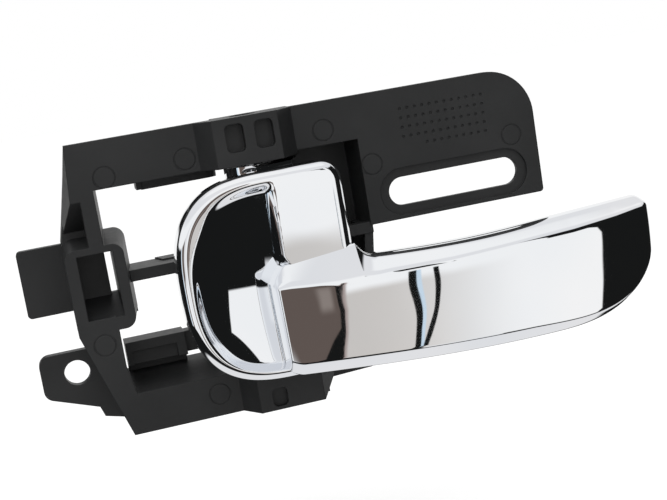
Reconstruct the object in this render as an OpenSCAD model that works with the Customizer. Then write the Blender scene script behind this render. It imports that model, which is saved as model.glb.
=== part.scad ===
// Car interior door handle: a black moulded bracket with a slotted mounting plate,
// and a bright lever that swings on an upright hinge pin.
// X runs along the lever to its tip, Z is up, Y points into the door.
// The origin is the centre of the round fixing hole, on the mounting face (y = 0).

/* [Bracket] */
// depth from the mounting face to the front face
bracket_depth = 21; // [19.5:0.5:23]
// thickness of the front face
face_thickness = 2.5; // [2:0.1:3]
// thickness of the side walls
wall = 2.5; // [2:0.1:3]
// height of the top edge above the fixing hole
top_edge = 63; // [62:0.5:65]
// height of the lower edge of the top bar
window_top = 50.3; // [49.5:0.1:51]
// height of the upper edge of the bottom bar
window_bottom = -5; // [-6:0.1:-4.5]
// height of the lower edge of the bottom bar
bottom_edge = -16; // [-18:0.5:-15]
// distance from the fixing hole to the outer face of the right wall
box_right = 87.5; // [86:0.5:89]

/* [Mounting plate] */
// distance from the fixing hole to the right edge
plate_right = 136.3; // [135:0.1:140]
// height of the lower edge
plate_bottom = 27.3; // [26:0.1:28]
// radius of the upper right corner
plate_corner = 13; // [8:0.5:16]
// radius of the lower right corner
plate_small_corner = 1; // [0.6:0.1:2]
// left end of the slot
slot_left = 91.7; // [91:0.1:93]
// length of the slot
slot_length = 37.9; // [34:0.1:39]
// width of the slot
slot_width = 7.8; // [6:0.1:8.5]
// height of the middle of the slot
slot_height = 34.8; // [34:0.1:36]
// width of the sunken band around the slot
slot_band = 2.6; // [1.5:0.1:3]
// depth of the sunken band
slot_band_depth = 0.9; // [0.4:0.1:1.2]

/* [Fixing tabs] */
// radius of the fixing hole
hole_radius = 3.55; // [3:0.05:4]
// thickness of the fixing tab
tab_thickness = 3; // [2.5:0.1:4]
// thickness of the locating tongue
tongue_thickness = 2.6; // [2:0.1:3]

/* [Hinge] */
// distance from the fixing hole to the hinge line
hinge_x = 55; // [54:0.5:56]
// distance from the mounting face to the hinge line
hinge_depth = 20; // [19.5:0.5:20.5]
// radius of the hinge pin
pin_radius = 2; // [1.8:0.1:2.2]
// radial gap between the pin and the lever
pin_running_gap = 0.05; // [0.03:0.01:0.08]
// radial gap between the pin and the bracket
pin_seat_gap = 0.01; // [0.005:0.005:0.02]
// outer radius of the lever's hub
hub_radius = 7.3; // [6.5:0.1:7.5]
// gap between the lever and each bar of the bracket
lever_end_gap = 0.5; // [0.4:0.05:0.8]

/* [Lever] */
// distance from the hinge line to the tip
lever_reach = 101.8; // [97:0.1:105]
// distance from the mounting face to the rim of the cup
cup_front = 42; // [41:0.1:43]
// depth of the rim of the cup from front to back
cup_depth = 8.8; // [8.4:0.1:9.2]
// depth of the dish in the cup, at its deepest
dish_depth = 5.8; // [5.2:0.1:6]
// distance from the hinge line to the round end of the cup
cup_left = 26.2; // [25:0.1:26.6]
// distance from the hinge line to the straight side of the cup
cup_right = 19.6; // [18:0.1:20.5]
// gap between the upper edge of the cup and the bar above it
cup_upper_gap = 1.4; // [1:0.1:2]
// squareness of the round end of the cup, 2 is a plain ellipse
cup_squareness = 2.75; // [2.3:0.05:3.2]
// distance from the mounting face to the front of the grip
grip_front = 45.6; // [45:0.1:47]
// how far the middle of the grip stands proud of its ends
grip_bow = 1.4; // [0.8:0.1:2]
// thickness of the grip from front to back
grip_thickness = 9; // [8.5:0.1:9.6]
// height of the upper edge of the grip
grip_top = 21.4; // [20.5:0.1:22]
// height of the lower edge of the grip at its lowest
grip_bottom = -7.8; // [-9:0.1:-7]
// thickness of the lever's moulded skin
skin_thickness = 2.4; // [2.2:0.1:2.7]
// radius of the seat for the end of the release cable
cable_seat_radius = 2.6; // [2.2:0.1:3]

/* [Return spring] */
// thickness of the wire
wire = 1.5; // [1.2:0.1:1.6]
// mean radius of the coil
coil_radius = 4.6; // [4.2:0.1:4.8]
// number of whole turns, before the part turn between the legs
coil_turns = 5; // [4:1:5]

/* [Marks] */
// radius of the round marks left by the mould
mark_radius = 3; // [2.5:0.1:3.2]
// depth of the round marks
mark_depth = 0.15; // [0.1:0.05:0.3]
// radius of each dimple in the grid
dimple_radius = 0.4; // [0.3:0.05:0.5]
// depth of each dimple
dimple_depth = 0.3; // [0.2:0.05:0.5]
// distance between dimples along the row
dimple_pitch = 2.15; // [1.8:0.05:2.3]
// distance between the rows of dimples
dimple_row_pitch = 2.55; // [2.2:0.05:2.7]
// dimples in each row
dimple_columns = 12; // [8:1:12]
// rows of dimples
dimple_rows = 5; // [3:1:5]

/* [Hidden] */
front = -bracket_depth;
face_back = front + face_thickness;
hinge_y = -hinge_depth;
plate_gap_left = box_right - wall;
lever_top = window_top - lever_end_gap;
lever_bottom = window_bottom + lever_end_gap;
cup_top = window_top - cup_upper_gap;
cup_mid = (cup_top + lever_bottom) / 2;
cup_half = (cup_top - lever_bottom) / 2;
cup_back = cup_depth - cup_front;
dish_floor = dish_depth - cup_front;
hollow_floor = dish_floor - 0.8 + skin_thickness;
tip_x = hinge_x + lever_reach;
lug_proud = 6.9;
lug_front = front - lug_proud;
lug_back = hinge_y + 6.4;
hub_low_top = 3.6;
seat_clearance = 1.2;
spring_low = hub_low_top + 0.4;
arm_low = 19.4;
arm_high = 27.4;
arm_end = -3.4;
cable_y = arm_end - cable_seat_radius - 1.8;
post_left = 36;
post_right = 40;
shelf_front = -13;
shelf_low = 23.6;
shelf_high = 26.7;
rail_front = -8;
rail_low = -0.3;
rail_high = 6.3;
finger_right = 47.3;
finger_half = 3;
finger_y = -6.2;
finger_low = window_top - 3.1;
rib_left = 70.5;
buffer_x = 68;
buffer_z = lever_top - 3.4;
buffer_radius = 3.2;
buffer_stem = 1.6;
buffer_margin = 0.8;
back_wall_left = buffer_x - buffer_radius - buffer_margin;
back_wall_front = -5;
back_wall_back = -2.6;
buffer_face = back_wall_front - 3.4;
rest_gap = 0.3;
stop_face = buffer_face - rest_gap;
round_fn = 48;
fine = 0.01;

// a flat shape of the front view, pushed through from one depth to another
module slab(y0, y1) {
  translate([0, y1, 0])
    rotate([90, 0, 0])
      linear_extrude(height = y1 - y0)
        children();
}

// a flat shape of the side view (depth, height), pushed along the handle
module beam(x0, x1) {
  translate([x0, 0, 0])
    rotate([90, 0, 90])
      linear_extrude(height = x1 - x0)
        children();
}

// a flat shape of the top view, pushed upwards
module column(z0, z1) {
  translate([0, 0, z0])
    linear_extrude(height = z1 - z0)
      children();
}

module block(a, b) {
  translate(a)
    cube(b - a);
}

module rounded(x0, z0, x1, z1, r) {
  translate([x0 + r, z0])
    square([x1 - x0 - 2 * r, z1 - z0]);
  translate([x0, z0 + r])
    square([x1 - x0, z1 - z0 - 2 * r]);
  for (x = [x0 + r, x1 - r], z = [z0 + r, z1 - r])
    translate([x, z])
      circle(r, $fn = round_fn);
}

module slot_shape(extra) {
  r = slot_width / 2 + extra;
  x0 = slot_left + slot_width / 2;
  x1 = slot_left + slot_length - slot_width / 2;
  translate([x0, slot_height - r])
    square([x1 - x0, 2 * r]);
  for (x = [x0, x1])
    translate([x, slot_height])
      circle(r, $fn = round_fn);
}

// bracket

module plate_shape() {
  c = plate_corner;
  s = plate_small_corner;
  translate([plate_gap_left, plate_bottom])
    square([plate_right - c - plate_gap_left, top_edge - plate_bottom]);
  translate([plate_right - c - fine, plate_bottom])
    square([c - s + fine, top_edge - c - plate_bottom]);
  translate([plate_right - s - fine, plate_bottom + s])
    square([s + fine, top_edge - c - plate_bottom - s]);
  translate([plate_right - c, top_edge - c])
    circle(c, $fn = 2 * round_fn);
  translate([plate_right - s, plate_bottom + s])
    circle(s, $fn = round_fn);
}

module bars_shape() {
  polygon([[7.7, top_edge], [6.6, 48], [9.2, 48], [9.2, 35], [13, 35], [13, window_top],
    [hinge_x + 13, window_top], [hinge_x + 13, window_top + 0.9], [box_right, window_top + 0.9],
    [box_right, top_edge]]);
  polygon([[2.3, 16.7], [2.3, 13], [11.6, bottom_edge], [hinge_x + 8.2, bottom_edge],
    [hinge_x + 12.5, bottom_edge + 4.2], [hinge_x + 12.5, window_bottom], [14.3, window_bottom], [12.9, 3],
    [12.9, 16.7]]);
}

module lug(z0, z1) {
  column(z0, z1)
    polygon([[hinge_x - 13.5, face_back], [hinge_x - 13.5, front], [hinge_x - 9.6, lug_front],
      [hinge_x + 8, lug_front], [hinge_x + 13, front], [hinge_x + 13, lug_back], [hinge_x - 8, lug_back],
      [hinge_x - 8, face_back]]);
}

module front_face() {
  slab(front, face_back) {
    plate_shape();
    bars_shape();
  }
}

module perimeter_walls() {
  beam(8.2, box_right)
    polygon([[front, top_edge], [0, top_edge - 1.2], [0, top_edge - 1.2 - wall], [front, top_edge - wall]]);
  block([plate_gap_left, front, plate_bottom], [box_right, 0, top_edge - 1.3]);
  slab(front + 1, 0)
    polygon([[box_right - wall - 1.7, plate_bottom + fine], [box_right - 1.7, plate_bottom + fine],
      [box_right - 2.9, 18], [box_right - 4.5, 2], [box_right - 4.5 - wall, 2], [box_right - 2.9 - wall, 18]]);
  slab(-10.4, 0)
    polygon([[box_right - 4.5, 2 + fine], [box_right - 6, bottom_edge + 1.4],
      [box_right - 6 - wall, bottom_edge + 1.4], [box_right - 4.5 - wall, 2 + fine]]);
  // closed back of the pocket to the right of the cup
  slab(back_wall_front, back_wall_back)
    polygon([[back_wall_left, window_bottom + 1], [box_right - 5, window_bottom + 1], [box_right - 3, 18],
      [box_right - 2, plate_bottom], [plate_gap_left + 1, window_top + 2], [back_wall_left, window_top + 2]]);
  // cross bar under that pocket, and the rib that carries its hidden end
  block([rib_left, front + 0.5, plate_bottom - 2.1], [box_right - 1.9, front + 3.5, plate_bottom + 0.9]);
  block([rib_left, front + 0.5, window_bottom + 1], [rib_left + 2.5, back_wall_back, plate_bottom + 0.9]);
  slab(front, 0)
    polygon([[2.3, 16.7], [2.3, 13], [11.6, bottom_edge], [66, bottom_edge], [66, bottom_edge + wall],
      [13.3, bottom_edge + wall], [4.8, 13.6], [4.8, 16.7]]);
  slab(-10.4, 0)
    polygon([[66 - fine, bottom_edge + 0.8], [box_right - 6, bottom_edge + 1.4],
      [box_right - 6, bottom_edge + 1.4 + wall], [66 - fine, bottom_edge + 0.8 + wall]]);
}

module window_flanges() {
  beam(13, hinge_x + 13)
    polygon([[front, window_top], [-1.5, window_top], [-1.5, window_top + 2], [front, window_top + 2]]);
  beam(hinge_x + 13 - fine, plate_gap_left + fine)
    polygon([[front, window_top + 0.9], [-1.5, window_top + 0.9], [-1.5, window_top + 2.9],
      [front, window_top + 2.9]]);
  beam(12.9, 66)
    polygon([[front, window_bottom], [0, window_bottom + 2.6], [0, window_bottom],
      [front, window_bottom - 2.4]]);
  beam(66 - fine, box_right - 5)
    polygon([[-10.4, window_bottom + 1.3], [0, window_bottom + 2.6], [0, window_bottom],
      [-10.4, window_bottom - 1.1]]);
}

// the left post of the frame, which leans outwards from its front edge
module left_post() {
  column(35, window_top + fine)
    polygon([[9.2, front], [13, front], [14.3, -5], [9.2, -5]]);
  hull() {
    slab(front, front + 1)
      polygon([[7.7, top_edge], [6.6, 48], [9.3, 48], [9.3, top_edge]]);
    slab(-6, -5)
      polygon([[8.2, top_edge - 1.1], [2.8, 37.3], [9.3, 37.3], [9.3, top_edge - 1.1]]);
  }
  slab(-9, -5)
    polygon([[2.3, 35], [9.3, 35], [9.3, 48], [5, 48]]);
}

// the loop that the end of the cable sleeve snaps into
module cable_loop() {
  difference() {
    hull() {
      slab(front, front + 1)
        rounded(2.3, 13, 17.8, 35.8, 3);
      slab(-5, -4)
        rounded(2.3, 13, 19.6, 38.2, 3);
    }
    slab(front - 1, 0)
      polygon([[5.5, 16.4], [15, 16.4], [15, 34], [5.5, 34]]);
    block([-1, front - 1, 10], [2.3, 0, 40]);
  }
  // sloping floor and back stop of the loop
  beam(5.4, 13.2)
    polygon([[front + 0.6, 16.3], [-8.2, 20.6], [-8.2, 34.1], [-5, 34.1], [-5, 16.3]]);
  beam(13.1, 15.1)
    polygon([[front + 0.6, 16.3], [-7, 21], [-5, 21], [-5, 16.3]]);
}

module left_wall() {
  slab(-6, 0)
    polygon([[2.3, 12], [2.4, 36.5], [8.2, top_edge - 1.3], [12, top_edge - 1.3], [12, 38],
      [4.8, 34], [4.8, 12]]);
}

module fixing_tab() {
  difference() {
    slab(-tab_thickness, 0)
      union() {
        hull() {
          for (p = [[-6.9, 3.1], [-6.9, -3.6]])
            translate(p)
              circle(3, $fn = round_fn);
          polygon([[9, 6.1], [12, -13], [4.2, -10.9]]);
        }
        polygon([[3.6, -9], [5.2, -13.8], [12.6, -15.8], [13, -8]]);
      }
    rotate([90, 0, 0])
      translate([0, 0, -1])
        cylinder(r = hole_radius, h = tab_thickness + 2, $fn = 2 * round_fn);
  }
}

module locating_tongue() {
  slab(-tongue_thickness, 0)
    rounded(-9.95, 17.2, 6, 36, 1.2);
}

// shelf behind the cable loop, lower rail and the post that carries both
module inner_frame() {
  column(shelf_low, shelf_high)
    polygon([[17, shelf_front], [post_right, shelf_front], [post_right, 0], [17, 0]]);
  column(shelf_high - fine, shelf_high + 0.4)
    polygon([[27, 0], [28.6, -6], [post_right, -6], [post_right, 0]]);
  block([17, -5, 14], [19.5, 0, shelf_high]);
  difference() {
    block([14, rail_front, rail_low], [30.6, -0.5, rail_high]);
    block([15.6, rail_front - 1, rail_low - 0.1], [28, rail_front + 1.2, rail_low + 3.8]);
  }
  block([30.5, -5, rail_low + 0.2], [post_left + 1, -0.5, rail_high - 0.6]);
  block([14, -2.6, window_bottom + 1], [30.6, -0.5, rail_low + 1]);
  block([post_left, rail_front, window_bottom + 1.2], [post_right, -0.5, shelf_low + 1]);
  // finger under the top bar, with a rounded end
  column(finger_low, window_top + fine)
    union() {
      translate([26.2, finger_y - finger_half])
        square([finger_right - finger_half - 26.2, 2 * finger_half]);
      translate([finger_right - finger_half, finger_y])
        circle(finger_half, $fn = round_fn);
    }
  block([24.9, finger_y - finger_half - 0.6, finger_low + 0.2],
    [26.4, finger_y + finger_half, window_top + fine]);
}

module mould_mark(x, z) {
  translate([x, front, z])
    rotate([90, 0, 0])
      difference() {
        translate([0, 0, -mark_depth])
          cylinder(r = mark_radius, h = 1, $fn = round_fn);
        translate([0, 0, -1])
          cylinder(r = mark_radius - 0.35, h = 3, $fn = round_fn);
      }
}

// grid of dimples, with the first places of the lowest row left plain
module dimples() {
  for (row = [0:dimple_rows - 1], k = [(row == 4 ? 3 : 0):dimple_columns - 1])
    translate([98 + k * dimple_pitch, front + dimple_depth, 57.2 - row * dimple_row_pitch])
      rotate([90, 22.5, 0])
        cylinder(r = dimple_radius, h = 1, $fn = 8);
}

module lug_pocket(x0, x1, z0, z1, deep) {
  slab(lug_front - 1, lug_front + deep)
    rounded(x0, z0, x1, z1, 1.3);
}

module bracket() {
  color([0.2, 0.2, 0.21])
    difference() {
      union() {
        front_face();
        perimeter_walls();
        window_flanges();
        left_post();
        left_wall();
        cable_loop();
        inner_frame();
        fixing_tab();
        locating_tongue();
        lug(window_top, top_edge);
        difference() {
          lug(bottom_edge, window_bottom);
          beam(hinge_x, hinge_x + 20)
            polygon([[lug_front - 1, 0], [-10, 0], [-10, -30], [lug_front - 1, -30]]);
        }
        intersection() {
          lug(bottom_edge, window_bottom);
          slab(lug_front - 1, 0)
            polygon([[hinge_x - 1, 0], [hinge_x - 1, bottom_edge], [hinge_x + 8.2, bottom_edge],
              [hinge_x + 13, bottom_edge + 4.7], [hinge_x + 13, 0]]);
        }
      }
      // seat for the pin, open at the top and blind at the bottom
      translate([hinge_x, hinge_y, bottom_edge + 2.4])
        cylinder(r = pin_radius + pin_seat_gap, h = top_edge - bottom_edge, $fn = round_fn);
      translate([hinge_x, hinge_y, top_edge - 2])
        cylinder(r = pin_radius + 1.6, h = 3, $fn = round_fn);
      slab(front - 1, face_back + 1)
        slot_shape(0);
      slab(front - 1, front + slot_band_depth)
        slot_shape(slot_band);
      lug_pocket(hinge_x - 6.4, hinge_x - 1.5, top_edge - 9.1, top_edge - 1.7, 2.6);
      lug_pocket(hinge_x + 1.5, hinge_x + 6.4, top_edge - 9.1, top_edge - 1.7, 2.6);
      lug_pocket(hinge_x - 6, hinge_x - 2, bottom_edge + 0.9, bottom_edge + 6, 1.6);
      // hole for the stem of the buffer
      translate([buffer_x, back_wall_back + 1, buffer_z])
        rotate([90, 0, 0])
          cylinder(r = buffer_stem + 0.02, h = 8, $fn = round_fn);
      // flat round seat for the lever's lower hub in the sloping floor
      translate([hinge_x, hinge_y, window_bottom])
        cylinder(r = hub_radius + seat_clearance, h = 20, $fn = round_fn);
      dimples();
      for (p = [[16.5, 53.1], [38, 54.1], [76, 55.1], [88, 43.6], [129, 44.6], [8.5, 9.6], [36, -9.9]])
        mould_mark(p[0], p[1]);
    }
}

// lever

function signed_power(v, e) = sign(v) * pow(abs(v), e);

// number of points on the round end, on each corner and on the straight runs of the cup
end_steps = 32;
corner_steps = 4;
bottom_steps = 2;
side_steps = 5;
top_steps = 7;
lower_corner = 3.5;
upper_corner = 5.5;

function corner_point(x, z, r, a) = [x + r * cos(a), z + r * sin(a)];
function between(p, q, n) = [for (k = [1:n]) p + (q - p) * k / (n + 1)];

// a corner of the cup, moved inwards by the inset: its middle, its radius, its first angle
function cup_corner(x, z, radius, first, inset, up) = let (
    left_over = max(inset - radius + 0.4, 0),
    r = max(radius - inset, 0.4))
  [for (k = [0:corner_steps])
    corner_point(x - left_over, z - up * left_over, r, first + 90 * k / corner_steps)];

// outline of the cup, moved inwards by the inset
function cup_outline(inset) = let (
    e = 2 / cup_squareness,
    side = hinge_x + cup_right,
    round_end = [for (k = [0:end_steps]) let (a = 90 + 180 * k / end_steps)
      [hinge_x + (cup_left - inset) * signed_power(cos(a), e),
        cup_mid + (cup_half - inset) * signed_power(sin(a), e)]],
    low = cup_corner(side - lower_corner, cup_mid - cup_half + lower_corner, lower_corner, -90, inset, -1),
    high = cup_corner(side - upper_corner, cup_mid + cup_half - upper_corner, upper_corner, 0, inset, 1))
  concat(round_end, between(round_end[end_steps], low[0], bottom_steps), low,
    between(low[corner_steps], high[0], side_steps), high,
    between(high[corner_steps], round_end[0], top_steps));

function ring_at(outline, y) = [for (p = outline) [p[0], y, p[1]]];

// a closed skin through rings that all have the same number of points
module skin(rings) {
  n = len(rings[0]);
  m = len(rings);
  sides = [for (j = [0:m - 2], i = [0:n - 1]) each [
    [j * n + i, (j + 1) * n + (i + 1) % n, j * n + (i + 1) % n],
    [j * n + i, (j + 1) * n + i, (j + 1) * n + (i + 1) % n]]];
  polyhedron(
    points = [for (r = rings) each r],
    faces = concat([[for (i = [0:n - 1]) i]], sides, [[for (i = [n - 1:-1:0]) (m - 1) * n + i]]));
}

// smooth step from 0 to 1
function clamp(v) = min(1, max(0, v));
function ease(v) = let (s = clamp(v)) s * s * s * (s * (6 * s - 15) + 10);

// front of the cup inside its rim, as a distance from the mounting face:
// a bowl for the fingers on the left, and a flat panel at rim height on the right
bowl_x = hinge_x + 5;
bowl_z = cup_mid - 9.2;
bowl_curve = 0.00625;
bowl_rise = 0.2;
bowl_soft = 16.2;
panel_left = hinge_x;
panel_low = grip_top - 0.4;
panel_corner = 3;
panel_edge = 2.4;
function bowl(x, z) = -dish_floor + bowl_curve * pow(min(x - bowl_x, 0), 2)
  + bowl_rise * (norm([z - bowl_z, bowl_soft]) - bowl_soft);
function panel_share(x, z) = let (
    dx = panel_left + panel_corner - x,
    dz = panel_low + panel_corner - z)
  ease(0.5 - (norm([max(dx, 0), max(dz, 0)]) + min(max(dx, dz), 0) - panel_corner) / panel_edge);
function dish(x, z) = let (s = panel_share(x, z)) min(bowl(x, z), cup_front - 0.1) * (1 - s) + cup_front * s;

// rim of the cup: its straight outside, its round crest and its inner side down to the dish
rim_round = 2.6;
rim_width = 2.2;
rim_fall = 3.4;
rim_outside = [[0.5, cup_front - cup_depth], [0, cup_front - cup_depth + 1.2], [0, cup_front - rim_round]];
rim_crest = [for (a = [22.5:22.5:90]) [rim_width * (1 - cos(a)), cup_front - rim_round + rim_round * sin(a)]];
dish_edge = cup_outline(rim_width + rim_fall);
dish_centre = [hinge_x, cup_mid];
// how far the front falls back towards the straight side
function side_fall(x) = 0.055 * pow(max(0, x - hinge_x - cup_right + 4.6), 2);
cup_rings = concat(
  [for (s = rim_outside) ring_at(cup_outline(s[0]), -s[1])],
  [for (s = rim_crest) [for (p = cup_outline(s[0])) [p[0], side_fall(p[0]) - s[1], p[1]]]],
  [for (k = [1:4]) let (s = k / 4)
    [for (p = cup_outline(rim_width + rim_fall * s))
      [p[0], side_fall(p[0]) - cup_front - (dish(p[0], p[1]) - cup_front) * ease(s), p[1]]]],
  [for (s = [0.1:0.1:0.95])
    [for (q = dish_edge) let (p = q + (dish_centre - q) * s) [p[0], -dish(p[0], p[1]), p[1]]]]);

module cup() {
  n = len(cup_rings[0]);
  m = len(cup_rings);
  polyhedron(
    points = concat([for (r = cup_rings) each r],
      [[dish_centre[0], -dish(dish_centre[0], dish_centre[1]), dish_centre[1]],
        [dish_centre[0], cup_back, dish_centre[1]]]),
    faces = concat(
      [for (i = [0:n - 1]) [i, (i + 1) % n, m * n + 1]],
      [for (j = [0:m - 2], i = [0:n - 1]) each [
        [j * n + i, (j + 1) * n + (i + 1) % n, j * n + (i + 1) % n],
        [j * n + i, (j + 1) * n + i, (j + 1) * n + (i + 1) % n]]],
      [for (i = [0:n - 1]) [(m - 1) * n + i, m * n, (m - 1) * n + (i + 1) % n]]));
}

// edges and faces of the grip, each as a function of the place along it
grip_start = hinge_x - 3.6;
cup_side = hinge_x + cup_right;
tip_curve_start = tip_x - 32;
shoulder_top = grip_top + 5.4;
function along(x) = (x - grip_start) / (tip_x - grip_start);
function tip_drop(x, r) = let (d = clamp((x - tip_x + r) / r)) r * (1 - sqrt(1 - d * d));
function edge_on_cup(x) = shoulder_top - 2.4 * (1 - clamp((x - grip_start) / (cup_side - grip_start)))
  - 4.6 * pow(1 - clamp((x - grip_start) / 4.2), 1.5);
function edge_of_blade(x) = grip_top + 1.5 - 0.9 * sin(180 * clamp((x - cup_side - 4) / 52))
  + 0.045 * max(0, x - tip_x + 26);
function upper_edge(x) = (x < cup_side ? edge_on_cup(x)
  : edge_of_blade(x) + (shoulder_top - edge_of_blade(x)) * pow(1 - clamp((x - cup_side) / 5.2), 2.2))
  - tip_drop(x, 3.6);
function lower_edge(x) = x < tip_curve_start
  ? lever_bottom + 0.5
    + (grip_bottom - lever_bottom - 0.5) * sin(90 * clamp((x - grip_start) / (tip_curve_start - grip_start)))
  : let (u = clamp((x - tip_curve_start) / (tip_x - tip_curve_start)), top = grip_top - 4.4)
    top - (top - grip_bottom) * pow(1 - pow(u, 2.7), 1 / 2.7);
// line along which the front of the grip turns over at the top
crest_line = [[hinge_x - 3, grip_top - 1.4], [hinge_x - 2, grip_top - 1.2], [hinge_x + 5, grip_top - 2],
  [hinge_x + 13, grip_top - 2.8], [cup_side, grip_top - 2.8], [hinge_x + 27, grip_top - 2.5],
  [hinge_x + 43, grip_top - 2.7], [hinge_x + 61, grip_top - 2.1], [tip_x - 23.8, grip_top - 1.6],
  [tip_x - 10.8, grip_top - 0.6], [tip_x, grip_top + 0.8]];
// distance of the front of the grip from the mounting face
function end_step(v) = v * v * (3 - 2 * v);
function grip_face(x) = grip_front - 9 * (1 - end_step(clamp((x - grip_start) / 1.3)))
  + grip_bow * sin(180 * clamp(along(x) * 1.04)) - 2.2 * pow(along(x), 5) - tip_drop(x, 2.4);
function grip_back(x) = x < cup_side ? 1 - cup_back : grip_front - grip_thickness - 0.9 * pow(along(x), 3);

// a rounded corner between two points
function corner_round(p, c, q, n) = [for (k = [0:n]) let (t = k / n)
  (1 - t) * (1 - t) * p + 2 * t * (1 - t) * c + t * t * q];

// section of the grip at one place along it: flat back, sloping shoulder, bowed front, bevelled foot
grip_crown = 0.15;
function grip_ring(x) = let (
    low = lower_edge(x),
    high = max(upper_edge(x), low + 1.2),
    face = grip_face(x),
    depth = face - grip_back(x),
    crest = min(max(min(lookup(x, crest_line), upper_edge(x) - 0.9), low + 0.55 * (high - low)), high - 0.3),
    foot = low + min(3.3 - 1.4 * clamp((x - tip_x + 38.8) / 38), 0.3 * (high - low)),
    past = clamp((x - cup_side) / 6),
    on_cup = face - cup_front + 0.3,
    deep = min(max(on_cup + (4.5 - on_cup) * past, 0.4), 0.7 * depth),
    low_deep = min(3.4, 0.5 * depth),
    top = [deep - face, high],
    edge = [-face, crest],
    slope = norm(edge - top),
    down = (edge - top) / slope,
    top_round = min(2.2 * past + 0.6, 0.4 * slope),
    edge_round = min(1.5, 0.4 * slope),
    first = crest - 0.8 * edge_round,
    toe = [low_deep - face, low],
    fall = norm(toe - [-face, foot]),
    away = (toe - [-face, foot]) / fall,
    turn = min(0.8, 0.4 * fall),
    lean = 0.02 * pow(1 - clamp((x - grip_start) / 12), 2),
    flat = concat(
      [[-grip_back(x), low], [-grip_back(x), high]],
      corner_round(top + [min(top_round, 0.3 * depth), 0], top, top + down * top_round, 2),
      corner_round(edge - down * edge_round, edge, [-face, first], 2),
      [[-face - grip_crown, (first + foot + 0.5) / 2]],
      corner_round([-face, foot + 0.6 * turn], [-face, foot], [-face, foot] + away * turn, 2),
      corner_round(toe - away * turn * 2, toe, toe + [turn, 0], 2)))
  [for (p = flat) [x + lean * (grip_top - 1.4 - p[1]), p[0], p[1]]];

grip_length = tip_x - grip_start;
grip_stations = concat(
  [0, 0.25, 0.5, 0.8, 1.05, 1.3, 2.2, 3.2, 4.6, 8, 14, cup_side - grip_start],
  [for (d = [0.8, 1.8, 2.9, 4, 5.2, 6.6]) cup_side - grip_start + d],
  [for (k = [1:7]) cup_side - grip_start + 6.6 + k * (tip_curve_start - cup_side - 6.6) / 7],
  [for (a = [10:10:80]) tip_curve_start - grip_start + 32 * sin(a)],
  [for (d = [0.3, 0.1, 0]) grip_length - d]);

module grip() {
  skin([for (s = grip_stations) grip_ring(grip_start + s)]);
}

module hub_shape(r) {
  translate([hinge_x, hinge_y])
    circle(r, $fn = round_fn);
}

module neck_shape() {
  hub_shape(hub_radius);
  polygon([[hinge_x - 5, hinge_y], [hinge_x + 5, hinge_y], [hinge_x + 6.5, cup_back - 1],
    [hinge_x - 6.5, cup_back - 1]]);
}

module cheek_shape() {
  hub_shape(hub_radius);
  polygon([[hinge_x, hinge_y + hub_radius - 0.2], [buffer_x - 4, stop_face], [buffer_x + 2.6, stop_face],
    [buffer_x + 2.6, hinge_y + 7], [hinge_x + 11.5, hinge_y - 4], [hinge_x + 9, cup_back - 1],
    [hinge_x - 1, cup_back - 1], [hinge_x - 1, hinge_y]]);
}

module cable_arm() {
  difference() {
    column(arm_low, arm_high)
      union() {
        translate([hinge_x - 4.6, hinge_y])
          square([9.2, cable_y - hinge_y]);
        translate([hinge_x, cable_y])
          circle(cable_seat_radius + 1.9, $fn = round_fn);
        hub_shape(hub_radius);
      }
    translate([hinge_x, cable_y, arm_low - 1])
      cylinder(r = cable_seat_radius, h = arm_high - arm_low + 2, $fn = round_fn);
    block([hinge_x - 12, cable_y - 0.8, arm_low - 1], [hinge_x, cable_y + 0.8, arm_high + 1]);
  }
}

module grip_pockets() {
  // hollows open to the back, with ribs left between them
  for (k = [0:2])
    block([cup_side + 5 + k * 21, -grip_front + skin_thickness + 0.8, grip_bottom + 4.5],
      [cup_side + 24 + k * 21, -20, grip_top - 6.2]);
}

module lever() {
  color([0.85, 0.86, 0.88])
    difference() {
      union() {
        difference() {
          cup();
          slab(hollow_floor, -20)
            difference() {
              polygon(cup_outline(skin_thickness + 1.2));
              translate([hinge_x - 8, cup_mid - cup_half])
                square([16, 2 * cup_half]);
            }
        }
        grip();
        column(arm_high - fine, cup_top - 1)
          neck_shape();
        column(cup_top - 1 - fine, lever_top)
          hub_shape(hub_radius);
        column(lever_bottom, hub_low_top)
          neck_shape();
        column(arm_low, arm_high)
          neck_shape();
        column(lever_top - 3, lever_top)
          cheek_shape();
        cable_arm();
      }
      translate([hinge_x, hinge_y, lever_bottom - 1])
        cylinder(r = pin_radius + pin_running_gap, h = lever_top - lever_bottom + 2, $fn = round_fn);
      grip_pockets();
    }
}

// hinge pin, spring and buffer

module pivot_pin() {
  color([0.6, 0.61, 0.63])
    translate([hinge_x, hinge_y, 0]) {
      translate([0, 0, bottom_edge + 2.5])
        cylinder(r = pin_radius, h = top_edge - bottom_edge - 3.5, $fn = round_fn);
      translate([0, 0, top_edge - 2])
        cylinder(r = pin_radius + 1.3, h = 1, $fn = round_fn);
    }
}

wire_sides = 8;
turn_steps = 18;

function wire_ring(c, t, up, r) = [for (k = [0:wire_sides - 1]) let (a = 360 * k / wire_sides)
  c + r * (cos(a) * up + sin(a) * cross(t, up))];

// one wire: a leg against the back of the cup, the coil, and a leg against the post
leg_start = -55;
leg_finish = leg_start + 125 + 360 * coil_turns;
coil_pitch = wire * 1.08;
function coil_centre(a) = [hinge_x + coil_radius * cos(a), hinge_y + coil_radius * sin(a),
  spring_low + wire / 2 + coil_pitch * (a - leg_start) / 360];
function coil_along(a) = [-sin(a), cos(a), 0];
cup_leg_y = hollow_floor + wire / 2 + 0.15;
post_leg_y = rail_front - wire / 2 - 0.15;
cup_leg = (coil_centre(leg_start)[1] - cup_leg_y) / cos(leg_start);
post_leg = (post_leg_y - coil_centre(leg_finish)[1]) / cos(leg_finish);
coil_steps = round((leg_finish - leg_start) / 360 * turn_steps);

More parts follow.
